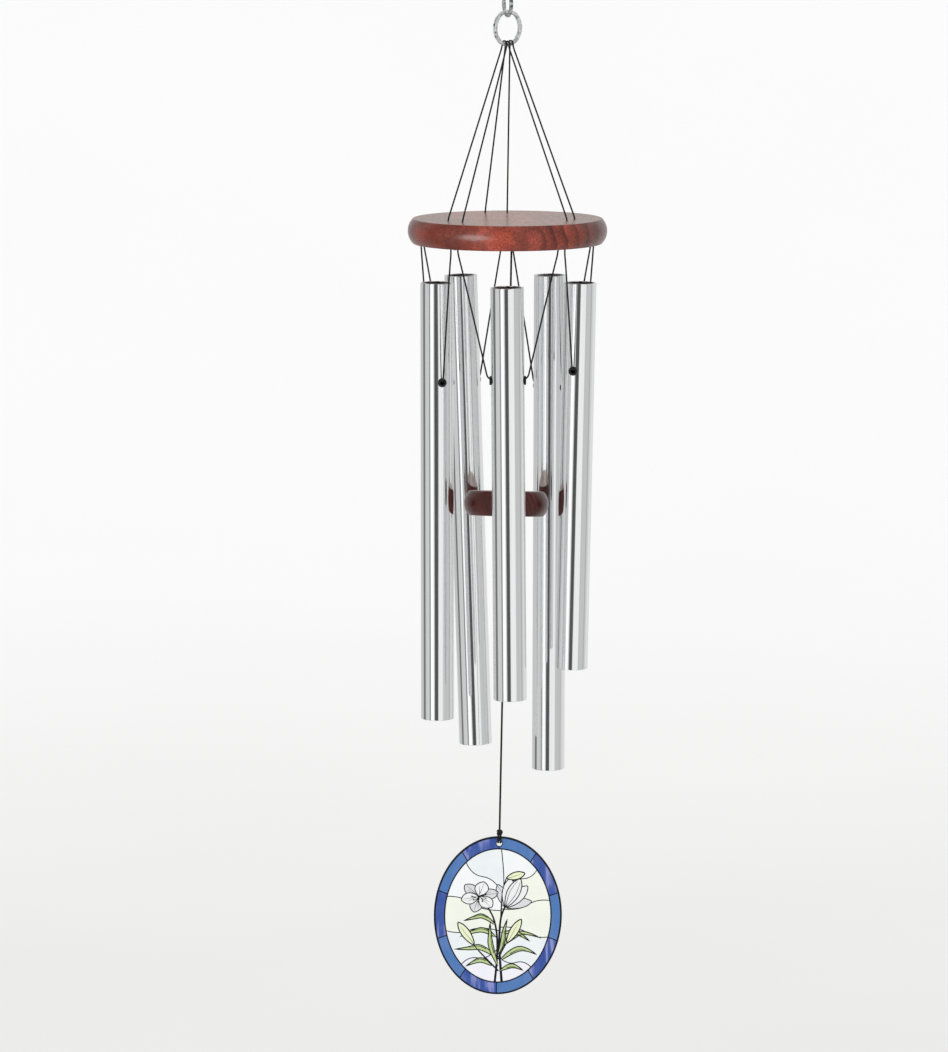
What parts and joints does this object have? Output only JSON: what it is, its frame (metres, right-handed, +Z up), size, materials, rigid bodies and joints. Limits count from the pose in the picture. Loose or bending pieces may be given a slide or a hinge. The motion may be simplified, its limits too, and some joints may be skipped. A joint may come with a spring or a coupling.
{
  "type": "wind chime",
  "caption": "Hanging wind chime: round wooden top, open metal tubes on cords, wooden striker and an oval sail, hung from an S-hook and ring.",
  "frame": {"origin": "inside top of the S-hook's upper loop, where the chime hangs", "axes": "+Z up along the chime's length, -Y towards the front of the sail, +X to the right seen from the front"},
  "size_m": [0.1146, 0.1146, 0.6095],
  "materials": {
    "hook_steel": "bright zinc-plated wire",
    "ring_steel": "bright nickel-plated wire",
    "stained_wood": "red-brown stain, satin varnish",
    "black_cord": "waxed braided cord",
    "polished_tube": "polished, fine lengthwise lines",
    "grommet_rubber": "moulded black rubber",
    "sail_glaze": "gloss printed acrylic, leaded-glass look"
  },
  "bodies": {
    "hook": {"hanging_hook": "hook_steel"},
    "ring": {"hanging_ring": "ring_steel"},
    "canopy": {"top_disc": "stained_wood", "suspension_knots": "black_cord", "striker_line_tie": "black_cord", "suspension_loop_left": "black_cord", "suspension_loop_right": "black_cord", "suspension_loop_back": "black_cord", "tunnel_cord_1": "black_cord", "tunnel_cord_2": "black_cord", "tunnel_cord_3": "black_cord", "tunnel_cord_4": "black_cord", "tunnel_cord_5": "black_cord"},
    "sling_front": {"tube_cord_front": "black_cord"},
    "tube_front": {"tube_front": "polished_tube", "grommets_front": "grommet_rubber"},
    "sling_right": {"tube_cord_right": "black_cord"},
    "tube_right": {"tube_right": "polished_tube", "grommets_right": "grommet_rubber"},
    "sling_back_right": {"tube_cord_back_right": "black_cord"},
    "tube_back_right": {"tube_back_right": "polished_tube", "grommets_back_right": "grommet_rubber"},
    "sling_back_left": {"tube_cord_back_left": "black_cord"},
    "tube_back_left": {"tube_back_left": "polished_tube", "grommets_back_left": "grommet_rubber"},
    "sling_left": {"tube_cord_left": "black_cord"},
    "tube_left": {"tube_left": "polished_tube", "grommets_left": "grommet_rubber"},
    "hanging_knot": {"hanging_knot": "black_cord"},
    "striker": {"striker_cord": "black_cord", "striker": "stained_wood"},
    "striker_knot": {"striker_knot": "black_cord"},
    "tail": {"tail_cord": "black_cord"},
    "sail_knot": {"sail_knot": "black_cord"},
    "sail": {"sail": "sail_glaze"}
  },
  "joints": [
    {"name": "ring_swing", "type": "hinge", "parent": "hook", "child": "ring", "pos_m": [0, 0, -0.0367], "axis": [0.3007, -0.9537, 0], "range_deg": [-20, 20]},
    {"name": "canopy_swing", "type": "hinge", "parent": "ring", "child": "canopy", "pos_m": [0, 0, -0.05325], "axis": [0.7431, 0.6691, 0], "range_deg": [-12, 12]},
    {"name": "sling_front_swing", "type": "hinge", "parent": "canopy", "child": "sling_front", "pos_m": [0, -0.04327, -0.1675], "axis": [-1, 0, 0], "range_deg": [-1, 12]},
    {"name": "tube_front_tilt", "type": "hinge", "parent": "sling_front", "child": "tube_front", "pos_m": [-0.00001, -0.0425, -0.24089], "axis": [1, 0, 0.008], "range_deg": [-6, 1.5]},
    {"name": "sling_right_swing", "type": "hinge", "parent": "canopy", "child": "sling_right", "pos_m": [0.04115, -0.01337, -0.1675], "axis": [-0.309, -0.9511, 0], "range_deg": [-1, 12]},
    {"name": "tube_right_tilt", "type": "hinge", "parent": "sling_right", "child": "tube_right", "pos_m": [0.04043, -0.01313, -0.23786], "axis": [0.309, 0.9511, -0.0063], "range_deg": [-6, 1.5]},
    {"name": "sling_back_right_swing", "type": "hinge", "parent": "canopy", "child": "sling_back_right", "pos_m": [0.02544, 0.03501, -0.1675], "axis": [0.809, -0.5878, 0], "range_deg": [-1, 12]},
    {"name": "tube_back_right_tilt", "type": "hinge", "parent": "sling_back_right", "child": "tube_back_right", "pos_m": [0.02498, 0.03438, -0.25299], "axis": [-0.809, 0.5878, 0.0021], "range_deg": [-6, 1.5]},
    {"name": "sling_back_left_swing", "type": "hinge", "parent": "canopy", "child": "sling_back_left", "pos_m": [-0.02544, 0.03501, -0.1675], "axis": [0.809, 0.5878, 0], "range_deg": [-1, 12]},
    {"name": "tube_back_left_tilt", "type": "hinge", "parent": "sling_back_left", "child": "tube_back_left", "pos_m": [-0.025, 0.03438, -0.24963], "axis": [-0.8086, -0.5878, -0.0254], "range_deg": [-6, 1.5]},
    {"name": "sling_left_swing", "type": "hinge", "parent": "canopy", "child": "sling_left", "pos_m": [-0.04115, -0.01337, -0.1675], "axis": [-0.309, 0.9511, 0], "range_deg": [-1, 12]},
    {"name": "tube_left_tilt", "type": "hinge", "parent": "sling_left", "child": "tube_left", "pos_m": [-0.04042, -0.01313, -0.24447], "axis": [0.309, -0.9511, 0.0002], "range_deg": [-6, 1.5]},
    {"name": "striker_swing_fore_aft", "type": "hinge", "parent": "canopy", "child": "hanging_knot", "pos_m": [0.0024, 0, -0.1671], "axis": [1, 0, 0], "range_deg": [-2, 2]},
    {"name": "striker_swing_sideways", "type": "hinge", "parent": "hanging_knot", "child": "striker", "pos_m": [0.00234, 0, -0.17035], "axis": [0, 1, 0], "range_deg": [-2, 2]},
    {"name": "tail_swing_sideways", "type": "hinge", "parent": "striker", "child": "striker_knot", "pos_m": [-0.0007, 0, -0.32552], "axis": [0, 1, 0], "range_deg": [-6, 6]},
    {"name": "tail_swing_fore_aft", "type": "hinge", "parent": "striker_knot", "child": "tail", "pos_m": [-0.00078, 0, -0.32977], "axis": [1, 0, 0], "range_deg": [-10, 12]},
    {"name": "sail_twist", "type": "hinge", "parent": "tail", "child": "sail_knot", "pos_m": [-0.00429, 0, -0.50943], "axis": [0.0195, 0, 0.9998], "range_deg": [-90, 90]},
    {"name": "sail_swing", "type": "hinge", "parent": "sail_knot", "child": "sail", "pos_m": [-0.00444, 0, -0.51683], "axis": [0, 1, 0], "range_deg": [-12, 12]}
  ]
}
